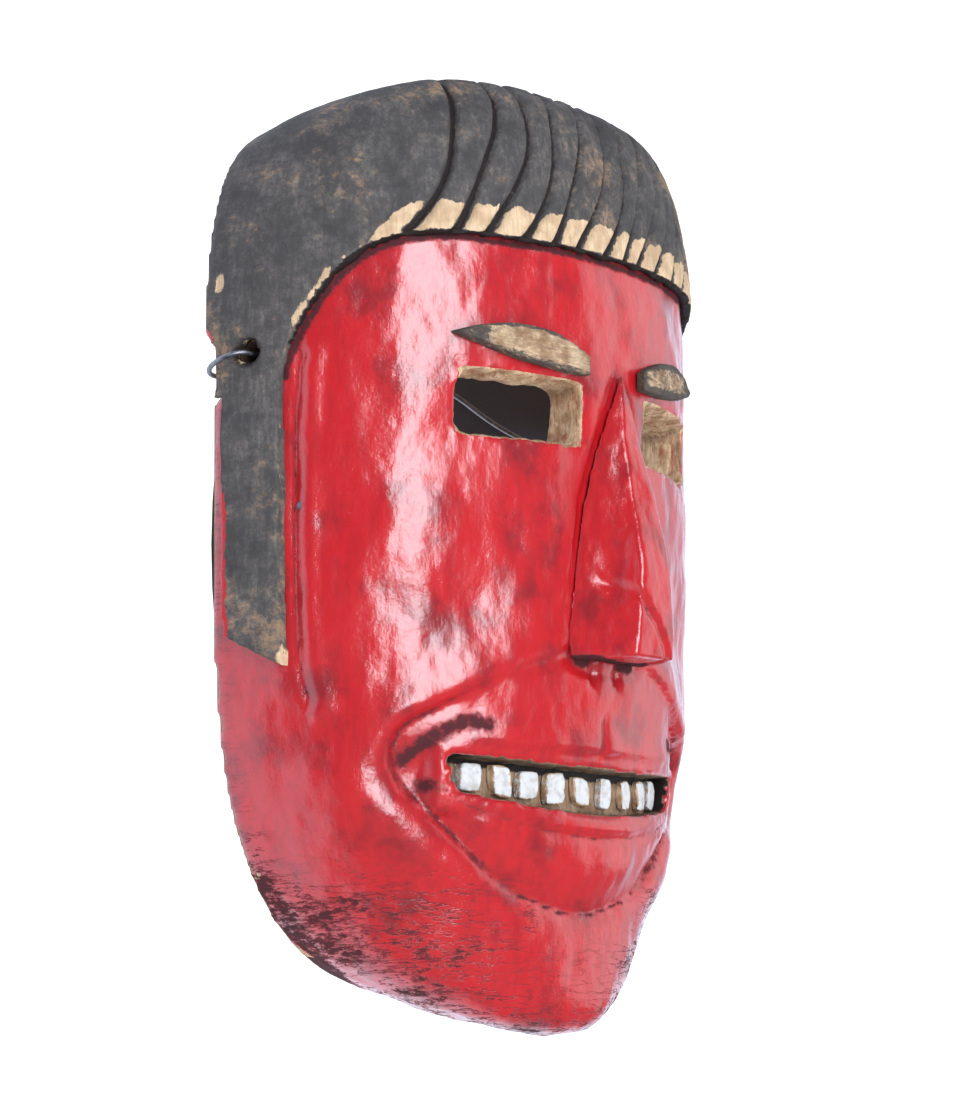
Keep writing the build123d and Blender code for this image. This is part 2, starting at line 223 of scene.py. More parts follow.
# ---- Material helpers ----------------------------------------------------------------------
class Paint:
    """A Principled material with short calls for its nodes."""

    def __init__(self, name, **sockets):
        self.material = bpy.data.materials.new(name)
        self.material.use_nodes = True
        self.tree = self.material.node_tree
        self.shader = self.tree.nodes["Principled BSDF"]
        for socket, value in sockets.items():
            self.shader.inputs[socket.replace("_", " ")].default_value = value
        self.coords = self.tree.nodes.new("ShaderNodeTexCoord").outputs["Object"]

    def set(self, node, inputs):
        for name, value in inputs.items():
            socket = node.inputs[name]
            if isinstance(value, bpy.types.NodeSocket):
                self.tree.links.new(value, socket)
            else:
                socket.default_value = value

    def noise(self, size, detail=4.0, rough=0.55, stretch=(1, 1, 1)):
        """Noise from 0 to 1; size is its grain in mm, stretch lengthens it along an axis."""
        mapping = self.tree.nodes.new("ShaderNodeMapping")
        self.set(mapping, {"Vector": self.coords, "Scale": [1 / value for value in stretch]})
        node = self.tree.nodes.new("ShaderNodeTexNoise")
        self.set(node, {"Vector": mapping.outputs["Vector"], "Scale": 1 / (size * MM), "Detail": detail,
                        "Roughness": rough})
        return node.outputs["Fac"]

    def mask(self, name):
        node = self.tree.nodes.new("ShaderNodeAttribute")
        node.attribute_name = name
        return node.outputs["Fac"]

    def step(self, value, low, high, to_low=0.0, to_high=1.0):
        """Map value from low..high to 0..1 with a smooth edge."""
        node = self.tree.nodes.new("ShaderNodeMapRange")
        node.interpolation_type = "SMOOTHSTEP"
        self.set(node, {"Value": value, "From Min": low, "From Max": high, "To Min": to_low,
                        "To Max": to_high})
        return node.outputs["Result"]

    def math(self, kind, a, b=0.0):
        node = self.tree.nodes.new("ShaderNodeMath")
        node.operation = kind
        for socket, value in zip(node.inputs, (a, b)):
            if isinstance(value, bpy.types.NodeSocket):
                self.tree.links.new(value, socket)
            else:
                socket.default_value = value
        return node.outputs["Value"]

    def mix(self, share, a, b):
        node = self.tree.nodes.new("ShaderNodeMix")
        node.data_type = "RGBA"
        for name, value in (("Factor", share), ("A", a), ("B", b)):
            kind = "VALUE" if name == "Factor" else "RGBA"
            socket = next(s for s in node.inputs if s.name == name and s.type == kind)
            if isinstance(value, bpy.types.NodeSocket):
                self.tree.links.new(value, socket)
            else:
                socket.default_value = value if name == "Factor" else (*value, 1.0)
        return next(s for s in node.outputs if s.type == "RGBA")

    def ragged(self, mask, grain, amount, low, high):
        """A painted mask whose edge is broken up by noise."""
        moved = self.math("MULTIPLY", self.math("SUBTRACT", grain, 0.5), amount)
        return self.step(self.math("ADD", mask, moved), low, high)

    def bump(self, *layers):
        """Each layer is (height from 0 to 1, depth in mm); the gloss coat gets the same relief."""
        normal = None
        for height, depth in layers:
            node = self.tree.nodes.new("ShaderNodeBump")
            self.set(node, {"Height": height, "Distance": depth * MM})
            if normal is not None:
                self.tree.links.new(normal, node.inputs["Normal"])
            normal = node.outputs["Normal"]
        self.tree.links.new(normal, self.shader.inputs["Normal"])
        self.tree.links.new(normal, self.shader.inputs["Coat Normal"])

    def out(self, **inputs):
        self.set(self.shader, {name.replace("_", " "): value for name, value in inputs.items()})
        return self.material


# ---- Materials -----------------------------------------------------------------------------
RED = (0.50, 0.007, 0.012)
RED_DEEP = (0.25, 0.007, 0.013)
# Dark red for worn paint and cracks, and for painted shade in the carved lines.
RED_WORN_AND_SHADE = (0.040, 0.014, 0.018)
WOOD_PALE = (0.76, 0.56, 0.36)
WOOD_TAN = (0.40, 0.24, 0.13)
WOOD_BROWN = (0.13, 0.06, 0.03)
# Near black for charring and dark grooves, and for painted shade in recesses, under the fringe and in the
# gum corners.
CHAR_AND_SHADE_BLACK = (0.018, 0.011, 0.010)
HAIR_BLACK = (0.050, 0.046, 0.046)
HAIR_GREY = (0.200, 0.180, 0.166)
HOLLOW_DARK = (0.27, 0.165, 0.095)
HOLLOW_PALE = (0.37, 0.24, 0.145)
STEEL_DARK = (0.16, 0.16, 0.18)
STEEL_PALE = (0.36, 0.36, 0.39)
TOOTH_WHITE = (0.60, 0.61, 0.63)
TOOTH_DIRTY = (0.42, 0.40, 0.37)


def wood_grain(paint, stretch, size=0.7):
    """Fine fibres along the grain, from 0 to 1."""
    fibres = paint.noise(size, 6, 0.7, stretch)
    return paint.step(fibres, 0.32, 0.68)


def bare_wood(paint, stretch):
    """Colour of old bare wood with its fibres."""
    fibres = wood_grain(paint, stretch)
    patches = paint.noise(5, 4)
    base = paint.mix(paint.step(patches, 0.35, 0.65), WOOD_TAN, WOOD_PALE)
    return paint.mix(paint.math("MULTIPLY", fibres, 0.55), base, WOOD_BROWN)


def hollow_wood(paint):
    """The calm brown of the carved hollow, with faint fibres."""
    shade = paint.step(paint.noise(24, 3), 0.3, 0.7)
    base = paint.mix(shade, HOLLOW_DARK, HOLLOW_PALE)
    return paint.mix(paint.math("MULTIPLY", wood_grain(paint, (1, 1, 9), 1.1), 0.3), base, WOOD_BROWN)


def red_lacquer():
    """Thick glossy enamel over carved wood, dark with painted shade in the grooves and worn in specks."""
    p = Paint("red_lacquer", Roughness=0.4, Specular_IOR_Level=0.3, Coat_Weight=1.0,
              Coat_Roughness=0.11, Coat_IOR=1.65)
    cloud = p.noise(16, 5, 0.6)
    streak = p.noise(3, 5, 0.6, (1, 1, 5))
    wrinkle = p.noise(1.9, 6, 0.68, (1.3, 1.3, 1))
    lump = p.noise(8, 4, 0.55, (1, 1, 1.4))
    red = p.mix(p.step(cloud, 0.30, 0.52), RED_DEEP, RED)
    red = p.mix(p.step(streak, 0.25, 0.6, 0.4, 0.0), red, RED_DEEP)
    specks = p.step(p.noise(1.5, 6, 0.75), 0.66, 0.74)
    worn = p.ragged(p.mask("worn"), p.noise(1.5, 7, 0.8, (3.4, 3.4, 1)), 1.35, 0.52, 0.72)
    lines = p.math("ABSOLUTE", p.math("SUBTRACT", p.noise(2.4, 4, 0.6, (7, 7, 1)), 0.5))
    cracks = p.math("MULTIPLY", p.step(lines, 0.0, 0.03, 1.0, 0.0), p.step(p.mask("worn"), 0.15, 0.5))
    # The groove mask: painted shade in the carved lines, and black paint at the mouth corner.
    ink_and_shade = p.ragged(p.mask("groove"), p.noise(2.6, 7, 0.76), 1.0, 0.28, 0.66)
    dark = p.math("MAXIMUM", p.math("MULTIPLY", specks, 0.6), p.math("MAXIMUM", worn, ink_and_shade))
    dark = p.math("MAXIMUM", dark, p.math("MULTIPLY", cracks, 0.8))
    # Worn paint, specks, cracks and the painted shade of the lines all take the same dark red.
    colour = p.mix(p.math("MULTIPLY", dark, 0.92), red, RED_WORN_AND_SHADE)
    bare = p.ragged(p.mask("bare"), p.noise(1.5, 6, 0.65), 0.9, 0.46, 0.56)
    stain_and_shade = p.step(p.noise(1.6, 5, 0.7, (1, 1, 4)), 0.52, 0.64, 0.0, 0.6)
    wood = p.mix(stain_and_shade, bare_wood(p, (1, 1, 8)), RED_DEEP)
    # Near black on the bare wood: charring at the temple holes, and painted shade in the mouth recess and
    # on the eye walls.
    wood = p.mix(p.mask("char_and_shade"), wood, CHAR_AND_SHADE_BLACK)
    wood = p.mix(p.mask("inside"), wood, hollow_wood(p))
    colour = p.mix(bare, colour, wood)
    p.bump((lump, 0.42), (streak, 0.05), (wrinkle, 0.12), (wood_grain(p, (1, 1, 9), 0.55), 0.006),
           (p.math("SUBTRACT", 1.0, dark), 0.05))
    gone = p.math("MAXIMUM", bare, dark)
    rough = p.step(gone, 0.0, 1.0, 0.4, 0.8)
    gloss = p.step(gone, 0.0, 0.9, 1.0, 0.0)
    return p.out(Base_Color=colour, Roughness=rough, Coat_Weight=gloss)


def hair_paint():
    """Matte black paint gone grey, scratched to the wood and worn off along the fringe."""
    p = Paint("hair_paint", Roughness=0.7, Specular_IOR_Level=0.35)
    cloud = p.noise(11, 7, 0.72)
    streak = p.noise(1.3, 6, 0.72, (1, 1, 6))
    sweep = p.noise(1.5, 6, 0.75, (1, 7, 1.5))
    grey = p.mix(p.step(cloud, 0.30, 0.68), HAIR_BLACK, HAIR_GREY)
    grey = p.mix(p.step(p.noise(0.9, 5, 0.8), 0.40, 0.62, 0.45, 0.0), grey, HAIR_BLACK)
    grey = p.mix(p.step(streak, 0.36, 0.62, 0.6, 0.0), grey, HAIR_BLACK)
    grey = p.mix(p.step(sweep, 0.36, 0.60, 0.6, 0.0), grey, HAIR_BLACK)
    patch = p.math("MULTIPLY", p.math("SUBTRACT", p.noise(22, 4, 0.6), 0.5), 0.9)
    fleck = p.math("ADD", p.noise(3.2, 8, 0.8), patch)
    tan = p.math("MAXIMUM", p.step(fleck, 0.54, 0.74), p.step(p.math("ADD", sweep, patch), 0.60, 0.74))
    grey = p.mix(p.math("MULTIPLY", tan, 0.6), grey, WOOD_TAN)
    # Near black from the groove mask: the comb grooves, the charred hole, and painted shade under the
    # fringe.
    ink_and_shade = p.ragged(p.mask("groove"), p.noise(4, 6, 0.7), 0.6, 0.4, 0.8)
    grey = p.mix(ink_and_shade, grey, CHAR_AND_SHADE_BLACK)
    worn = p.ragged(p.mask("worn"), p.noise(1.7, 6, 0.7, (1, 1, 2.6)), 1.1, 0.48, 0.62)
    colour = p.mix(worn, grey, p.mix(0.4, bare_wood(p, (1, 1, 8)), WOOD_PALE))
    red = p.ragged(p.mask("red"), p.noise(3.0, 5), 0.9, 0.5, 0.56)
    colour = p.mix(red, colour, RED)
    p.bump((cloud, 0.5), (streak, 0.3), (sweep, 0.25), (p.noise(0.7, 4, 0.6), 0.12))
    rough = p.step(red, 0.0, 1.0, 0.7, 0.25)
    return p.out(Base_Color=colour, Roughness=rough)


def brow_wood():
    """Bare tan wood with its grain along the brow and remains of black paint."""
    p = Paint("brow_wood", Roughness=0.7)
    stretch = (9, 1, 1)
    wood = bare_wood(p, stretch)
    left = p.ragged(p.mask("groove"), p.noise(0.9, 6, 0.78, (6, 1, 1)), 2.2, 0.42, 0.72)
    colour = p.mix(p.math("MULTIPLY", left, 0.9), wood, HAIR_BLACK)
    p.bump((wood_grain(p, stretch), 0.25), (p.noise(2.2, 5), 0.5))
    return p.out(Base_Color=colour)


def gum_wood():
    """Carved bare wood between the teeth, brown, going black with painted shade in the corners."""
    p = Paint("gum_wood", Roughness=0.7)
    wood = p.mix(0.45, bare_wood(p, (1, 1, 4)), WOOD_BROWN)
    # The groove mask: painted shade above the teeth and in the corners, lighter below them.
    stain_and_shade = p.ragged(p.mask("groove"), p.noise(1.8, 6, 0.7), 1.2, 0.35, 0.75)
    colour = p.mix(stain_and_shade, wood, CHAR_AND_SHADE_BLACK)
    p.bump((wood_grain(p, (1, 1, 5), 0.5), 0.2), (p.noise(2, 4), 0.4))
    return p.out(Base_Color=colour)


def tooth_paint():
    """White paint, a little chipped and dirty at the edges."""
    p = Paint("tooth_paint", Roughness=0.42)
    chips = p.ragged(p.mask("worn"), p.noise(1.4, 6, 0.7), 1.3, 0.56, 0.68)
    dirty = p.mix(p.step(p.noise(2.2, 5), 0.4, 0.75), TOOTH_WHITE, TOOTH_DIRTY)
    colour = p.mix(chips, dirty, bare_wood(p, (1, 1, 5)))
    p.bump((p.noise(1.6, 4), 0.3), (chips, 0.1))
    return p.out(Base_Color=colour)


def steel(name, rough=0.38):
    """Dull galvanised steel."""
    p = Paint(name, Metallic=1.0)
    patches = p.noise(1.5, 5)
    colour = p.mix(p.step(patches, 0.3, 0.7), STEEL_DARK, STEEL_PALE)
    p.bump((p.noise(0.5, 4), 0.02))
    return p.out(Base_Color=colour, Roughness=p.step(patches, 0.3, 0.7, rough, rough + 0.2))


# ---- The head's own measures, read from the frame -------------------------------------------
def corners_mm(node):
    low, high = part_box(node)
    return np.array(low) / MM, np.array(high) / MM


HEAD_LOW, HEAD_HIGH = corners_mm("face_shell")
HAIR_LOW, HAIR_HIGH = corners_mm("hair_cap")
NOSE_LOW, NOSE_HIGH = corners_mm("nose")
MOUTH_LOW, MOUTH_HIGH = corners_mm("gum_strip")
BURN_LOW, BURN_HIGH = corners_mm("sideburn_right")
BULGE = 2.15  # exponent of the head's cross-section
EYES = (-30.0, 35.5)
EYE = dict(z=35.0, half_width=18.5, half_height=7.75)
HOLE = dict(y=-14.0, z=47.0, radius=3.25)


class Profile:
    """Half-width and depth of the head at each height, from the remeshed face."""

    def __init__(self, points):
        edges = np.arange(HEAD_LOW[2], HEAD_HIGH[2] + 2, 2.0)
        self.heights, self.widths, self.depths = [], [], []
        for low, high in zip(edges, edges[1:]):
            inside = points[(points[:, 2] >= low) & (points[:, 2] < high)]
            if len(inside) and not MOUTH_LOW[2] - 3 < low < MOUTH_HIGH[2] + 1:
                self.heights.append((low + high) / 2)
                self.widths.append(np.abs(inside[:, 0]).max())
                self.depths.append(-inside[:, 1].min())

    def fullness(self, points):
        """1 on the outer surface, less inside the wood."""
        width = np.interp(points[:, 2], self.heights, self.widths)
        depth = np.interp(points[:, 2], self.heights, self.depths)
        across = np.abs(points[:, 0]) / np.maximum(width, 1)
        out = np.maximum(-points[:, 1], 0) / np.maximum(depth, 1)
        return across ** BULGE + out ** BULGE


# ---- Relief lines, in millimetres on the front view (x, z) or the side view (y, z) -----------
FRINGE_Z = 77.5
GROOVE_FEET = [-62, -52.5, -43, -33.5, -24.5, -14.5, -5, 3, 11.5, 20, 30, 41, 52]
SMILE_FOLD = [(17, -28), (29, -32), (39, -36.5), (51, -43), (58.5, -48.5), (60, -55), (57.5, -62),
              (51, -69), (41, -78), (27, -87.5), (8, -93), (0, -94)]
# The mouth corner's dark stroke: black paint, with painted shade in the corner's hollow.
CORNER_INK_AND_SHADE = [(58, -57), (52, -51), (45, -47), (39, -47)]
NOSE_FOOT = [(1.2, 48), (4.6, 38), (9.2, 24), (13.2, 6), (16.2, -14), (15.6, -27), (11, -31),
             (0, -31.8)]
LIP_CREASE = [(50, -62), (42, -67.5), (27, -71.5), (13, -73.5), (0, -74)]
BURN_GROOVE = [(-26, 46), (-24.5, 30), (-24, 0), (-24.5, -30), (-26, -42)]
TIP_DENT = [(-12, -8), (-7, -12), (-2, -17), (4, -25), (6, -31)]
HAIR_EDGE = [(-22, 30), (-22, 38), (-23.5, 46), (-30, 59), (-38.5, 70.5), (-50, 76.5),
             (-62, FRINGE_Z), (-90, FRINGE_Z)]


NOSE_LEAN = 4.5


def nose_middle(z):
    """The nose leans: its middle line moves sideways towards the bridge."""
    share = (z - NOSE_LOW[2]) / (NOSE_HIGH[2] - NOSE_LOW[2])
    return NOSE_LEAN * np.clip(share, 0, 1)


def eye_distance(x, z):
    """Distance outside the nearest eye opening, negative inside it."""
    gaps = [np.maximum(np.abs(x - middle) - EYE["half_width"], np.abs(z - EYE["z"]) - EYE["half_height"])
            for middle in EYES]
    return np.minimum(*gaps)


# Zones on the front view and levels, in mm.
MOUTH = dict(z=-61.0, half_width=48.5, half_height=7.5)  # kept flat, so that the teeth stay clear
MOUTH_CUT = dict(z=-61.5, half_width=49.0, half_height=8.0)  # bare wood of the recess
NOTCH = dict(z=45.0, half_height=20.0, inner_x=55.0)  # where the wire passes the rim
END_CAP = 20.0  # at crown and chin, all of the wood is outside the hollow
BACK_EDGE = -0.4  # nothing moves from here to the rim plane at 0
RIM_FADE = 3.5
OUTER_FULLNESS = 0.87  # Profile.fullness above this is the outer surface

# Depths and heights of the relief, in mm.
FOLD_DEPTH = 2.3
FOLD_CUT = 2.0
MOUTH_CORNER_DEPTH = 2.2
NOSE_FOOT_DEPTH = 0.7
LIP_CREASE_DEPTH = 1.0
LOWER_LIP_RISE = 0.9
UPPER_LIP_RISE = 1.2
CHIN_RISE = 1.6
PHILTRUM_DEPTH = 0.8
CHEEKBONE_RISE = 1.6
CHEEK_DEPTH = 1.8
EYE_RIM_DEPTH = 0.5
EYE_RIM_ROUGHNESS = 1.1
BURN_GROOVE_DEPTH = 0.8
BURN_RIDGE_RISE = 0.7
FACET_DEPTH = 0.85
RIPPLE_DEPTH = 0.25
NOTCH_ROOM = 0.5


class FaceMap:
    """Where each point of the remeshed face lies, before anything is carved."""

    def __init__(self, points):
        self.points = points
        self.x, self.y, self.z = x, y, z = points.T
        self.ax = ax = np.abs(x)
        self.full = Profile(points).fullness(points)
        ends = (z < HEAD_LOW[2] + END_CAP) | (z > HEAD_HIGH[2] - END_CAP)
        self.outer = (self.full > OUTER_FULLNESS) | ends
        self.front = falls(y, -12, 20) * self.outer
        self.side = rises(ax, 62, 10) * self.outer
        self.eye_gap = eye_distance(x, z)
        self.fold, _ = to_curve(ax, z, SMILE_FOLD)
        self.fold_share = (0.45 + 0.55 * falls(z, -36, 10)) * (1 - 0.45 * falls(z, -80, 12))
        self.foot, _ = to_curve(np.abs(x - nose_middle(z)), z, NOSE_FOOT)
        self.crease, _ = to_curve(ax, z, LIP_CREASE)
        self.burn, _ = to_curve(y, z, BURN_GROOVE)
        self.philtrum = rises(z, -55, 3) * falls(z, -40, 5)


def fold_relief(face):
    """The smile fold: a hollow on the mouth's side, a ridge on the cheek's side, a cut between."""
    reach = np.abs(face.fold)
    crest = 3.5 + 4.5 * falls(face.z, -52, 12)
    ridge = reach / crest * np.exp(1 - reach / crest)
    mouth_side = -FOLD_DEPTH * np.exp(-reach / 7)
    cheek_side = FOLD_DEPTH * ridge - FOLD_CUT * np.exp(-reach / 2.2)
    return face.fold_share * np.where(face.fold < 0, mouth_side, cheek_side)


def face_relief(face):
    """How far each point of the face moves outwards, in mm."""
    p, x, y, z, ax = face.points, face.x, face.y, face.z, face.ax
    outer, front, side = face.outer, face.front, face.side
    clear_mouth = smooth(np.maximum(np.abs(z - MOUTH["z"]) - MOUTH["half_height"],
                                    (ax - MOUTH["half_width"]) / 2) / 2.5)
    push = front * fold_relief(face)
    push -= front * MOUTH_CORNER_DEPTH * spot(ax, z, (54, -58), (4.5, 6))
    push -= front * NOSE_FOOT_DEPTH * band(face.foot, 2.5)
    push -= front * LIP_CREASE_DEPTH * band(face.crease, 2.6) * falls(ax, 52, 8)
    lips = LOWER_LIP_RISE * bell(z + 70, 2.6) * falls(ax, 50, 12)
    lips += UPPER_LIP_RISE * bell(z + 51, 5) * falls(ax, 48, 12)
    push += front * lips * clear_mouth
    push += front * CHIN_RISE * spot(ax, z, (0, -82), (34, 8))
    push -= front * PHILTRUM_DEPTH * band(x, 2.2) * face.philtrum
    push += front * CHEEKBONE_RISE * spot(ax, z, (60, 2), (11, 20))
    push -= front * CHEEK_DEPTH * spot(ax, z, (44, -18), (12, 15))
    push -= front * EYE_RIM_DEPTH * bell(np.maximum(face.eye_gap, 0), 5)
    push -= side * BURN_GROOVE_DEPTH * band(face.burn, 1.8)
    push += side * BURN_RIDGE_RISE * band(face.burn + 3.5, 3.5)
    facet = noise(p, (12, 12, 17), 3, 2)
    ripple = noise(p, (5, 5, 8), 5, 2)
    push += outer * (FACET_DEPTH * facet + RIPPLE_DEPTH * ripple)
    push += ~outer * (0.6 * noise(p, 9, 8, 2) + 0.25 * noise(p, 3, 9))
    near_eye = bell(np.minimum(face.eye_gap, 3), 2.2) * (face.full > 0.6)
    push += near_eye * EYE_RIM_ROUGHNESS * noise(p, 3.0, 21, 3)
    push = push * clear_mouth + (1 - clear_mouth) * outer * 0.15 * ripple
    push *= falls(y, BACK_EDGE, RIM_FADE)
    at_notch = falls(np.abs(z - NOTCH["z"]), NOTCH["half_height"], 3)
    near_notch = rises(ax, NOTCH["inner_x"], 4) * rises(y, -11, 2) * at_notch
    return push * (1 - near_notch) - NOTCH_ROOM * near_notch * (np.abs(y) > -BACK_EDGE)


def paint_bare_wood(piece, face):
    """Masks of the unpainted wood: the hollow, the rim, the notches, the holes and the mouth."""
    y, z, ax, full, eye_gap = face.y, face.z, face.ax, face.full, face.eye_gap
    in_hole = np.hypot(y - HOLE["y"], z - HOLE["z"]) < HOLE["radius"] + 0.6
    in_mouth = (ax < MOUTH_CUT["half_width"]) & (np.abs(z - MOUTH_CUT["z"]) < MOUTH_CUT["half_height"])
    in_mouth &= (full < 0.975) & (full > 0.7)
    turned_back = rises(piece.normals[:, 1], 0.3, 0.2) * (y > -12)
    notch = rises(np.abs(piece.normals[:, 2]), 0.45, 0.2) * (ax > 60) * (np.abs(z) < 85) * (y > -9)
    bare = np.maximum.reduce([np.where(face.outer & (y < -0.3), 0.0, 1.0),
                              falls(eye_gap, 1.5, 1.3) * (full < 1.2),
                              1.0 * (in_hole & (ax > 50)), 0.8 * in_mouth, turned_back, notch])
    piece.paint("bare", bare)
    hollow = falls(full, 0.86, 0.1) * rises(eye_gap, 2, 3) * ~in_mouth
    piece.paint("inside", np.maximum(hollow, 1.0 * (y > -1.5)))
    upper_lid = rises(z, EYE["z"] + 3, 3)
    eye_wall = falls(eye_gap, 0.2, 2) * (full > 0.5) * (full < 0.93)
    # Painted shade in the mouth recess, darkest at its corners, and on the eye walls, darkest on the upper
    # ones, which also hold some dark paint; the ring round the temple hole is charring.
    char_and_shade = in_mouth * (0.75 + 0.25 * rises(ax, 38, 6))
    piece.paint("char_and_shade", char_and_shade + 0.9 * in_hole + (0.15 + 0.55 * upper_lid) * eye_wall)


def paint_lines(piece, face):
    """Painted shade in the carved lines, the recesses and the nostril and under the hair's edge, with
    black paint at the mouth corner.
    """
    x, y, z, ax = face.x, face.y, face.z, face.ax
    corner, _ = to_curve(ax, z, CORNER_INK_AND_SHADE)
    edge, _ = to_curve(y, z, HAIR_EDGE)
    # Painted shade along the fold, lip crease, nose foot and philtrum, in the mouth corner's hollow and in
    # the nostril; the corner stroke is also black paint.
    lines = [0.68 * band(corner, 5.0),
             0.62 * band(face.fold, 1.3) * falls(ax, 30, 8) * falls(z, -86, 3),
             0.52 * band(face.fold, 2.6) * face.fold_share,
             0.45 * band(face.crease, 1.6),
             0.20 * band(face.foot, 1.6),
             0.70 * spot(ax, z, (52, -63), (4, 3)),
             0.70 * band(x, 1.6) * face.philtrum,
             0.90 * spot(ax, z, (9, NOSE_LOW[2]), (5, 2.2))]
    ink_and_shade = np.maximum.reduce(lines) * face.front
    # Painted shade under the hair's lower edge.
    under_hair_shade = np.where(ax > 45, band(edge, 2.6), band(z - 77, 2.4)) * (z > 40)
    ink_and_shade = np.maximum(ink_and_shade, 0.75 * under_hair_shade * face.outer)
    # Painted shade in the groove in front of the sideburn.
    piece.paint("groove", np.maximum(ink_and_shade, 0.5 * face.side * band(face.burn, 1.2)))


def paint_wear(piece, face):
    """Where the red is rubbed off: the jaw and chin most, then the back edge and the brow's end."""
    p, x, y, z, ax = face.points, face.x, face.y, face.z, face.ax
    jaw = falls(z, -58, 46) * (0.66 + 0.34 * noise(p, (14, 14, 6), 31, 3)) * smooth((52 + y) / 14 + 0.5)
    jaw = np.maximum.reduce([jaw, 0.75 * spot(x, z, (-40, -94), (6, 6)),
                             0.60 * spot(x, z, (-19, -96), (5, 7))])
    back_edge = 0.3 * rises(y, -16, 12)
    brow_end = 0.25 * spot(ax, z, (52, 55), (10, 9))
    patches = 0.2 * smooth(noise(p, 22, 33, 2))
    piece.paint("worn", face.outer * (0.80 * jaw + back_edge + brow_end + patches))


def carve_face():
    """The red face with its hollow."""
    piece = Piece("face_shell", 1.27, smoothing=4)
    face = FaceMap(piece.points)
    piece.push(face_relief(face))
    paint_bare_wood(piece, face)
    paint_lines(piece, face)
    paint_wear(piece, face)
    return piece


COMB_DEPTH = 2.2
SEAM_LAP = 1.2  # how far hair and sideburn each reach past their border
CHIP_DEPTH = 1.2


def comb_lines(points):
    """Signed distance from the nearest comb groove; the grooves lean back as they rise."""
    x, z = points[:, 0], points[:, 2]
    rise = np.clip(z - FRINGE_Z, 0, 45)
    lean = 0.62 * rise - 0.0045 * rise ** 2
    nearest = np.full(len(x), 1e9)
    for number, foot in enumerate(GROOVE_FEET):
        wobble = 0.9 * np.sin(rise / 7 + 2.1 * number)
        distance = x - lean - foot - wobble
        nearest = np.where(np.abs(distance) < np.abs(nearest), distance, nearest)
    return nearest


def carve_hair():
    """The raised hair: comb grooves, a rough lower edge, a chip, and a lap over the sideburns."""
    piece = Piece("hair_cap", 0.95, smoothing=4)
    p = piece.points
    x, y, z = p.T
    ax = np.abs(x)
    n = piece.normals
    outward = n[:, 0] * x / HAIR_HIGH[0] + n[:, 1] * y / 70 + n[:, 2] * np.maximum(z, 0) / 120
    outer = rises(outward, -0.05, 0.2) * (y < -0.5)
    combed = rises(x, -68, 6) * rises(z, 75.5, 2) * falls(y, -6, 12)
    cut = band(comb_lines(p), 1.5 + 1.1 * falls(z, 92, 14)) * combed
    hole = np.hypot(y - HOLE["y"], z - HOLE["z"]) - HOLE["radius"]
    chip = spot(y, z, (-5, 66), (2.5, 3.5)) * (x < 0)
    bottom = falls(n[:, 2], -0.4, 0.3)
    push = outer * (0.5 * noise(p, (12, 18, 12), 41, 2) + 0.18 * noise(p, (4, 4, 7), 42, 2))
    push -= outer * (COMB_DEPTH * cut + CHIP_DEPTH * chip)
    push += outer * 1.3 * spot(z, y, (76, -6), (22, 14))
    push += bottom * 0.9 * noise(p, (3.5, 3.5, 30), 44, 2)
    push += bell(hole, 1.8) * 0.8 * noise(p, 1.8, 45, 2)
    seam = falls(z, HAIR_LOW[2] + 2, 1.5)
    piece.push(push * falls(y, BACK_EDGE, RIM_FADE) * (1 - seam))
    piece.points[:, 2] -= SEAM_LAP * seam
    piece.write()
    paint_hair(piece, x, y, z, n, outer, cut, chip, hole)
    return piece


def paint_hair(piece, x, y, z, normals, outer, cut, chip, hole):
    """Black grooves, painted shade under the fringe, worn wood along the fringe, a charred temple hole,
    red at the back edge.
    """
    p = np.stack([x, y, z], 1)
    at_side = np.abs(x) > 45
    edge, _ = to_curve(y, z, HAIR_EDGE)
    edge = np.where(at_side, np.abs(edge), np.abs(z - FRINGE_Z))
    width = 2.5 + 7.5 * falls(y, -40, 10) + 1.5 * noise(p, (3, 3, 30), 46, 2)
    fringe = falls(edge, width, 3.0) * outer * rises(z, 46, 10) * (at_side | (z > 76))
    char = bell(np.maximum(hole, 0), 1.6)
    # Painted shade on the fringe's underside.
    underside_shade = falls(normals[:, 2], -0.2, 0.3) * (edge < 3.5)
    worn_fringe = fringe * (1 - cut) * (1 - underside_shade)
    piece.paint("groove", np.maximum.reduce([0.95 * cut * outer, 0.9 * underside_shade, 0.75 * char]))
    piece.paint("worn", 0.95 * worn_fringe + 0.75 * chip + 0.45 * char * (y > HOLE["y"]))
    piece.paint("red", 0.60 * falls(z, 62, 10) * rises(y, -6.5, 4))


def carve_sideburn(node):
    """A sideburn, raised at its top to lap with the hair."""
    piece = Piece(node, 0.55, smoothing=2)
    p = piece.points
    y, z = p[:, 1], p[:, 2]
    top = rises(z, BURN_HIGH[2] - 2, 1.5)
    piece.push((0.3 * noise(p, 7, 51, 2) + 0.15 * noise(p, (2, 2, 6), 52)) * (1 - top))
    piece.points[:, 2] += SEAM_LAP * top
    piece.write()
    to_front = y - BURN_LOW[1]
    to_back = BURN_HIGH[1] - y
    to_end = z - BURN_LOW[2] - 4
    foot = falls(to_end, 3, 6) * falls(to_front, 5, 5)
    # Painted shade along the front edge, where the sideburn meets the cheek.
    piece.paint("groove", 0.3 * band(to_front, 1.5))
    piece.paint("worn", 0.12 + 0.25 * band(to_front, 1.6) + 0.35 * foot)
    piece.paint("red", 0.75 * falls(to_back, 3.5, 3) * falls(z, 20, 12))
    return piece


BROW_SINK = 1.3  # the left brow's outer end lies closer to the face


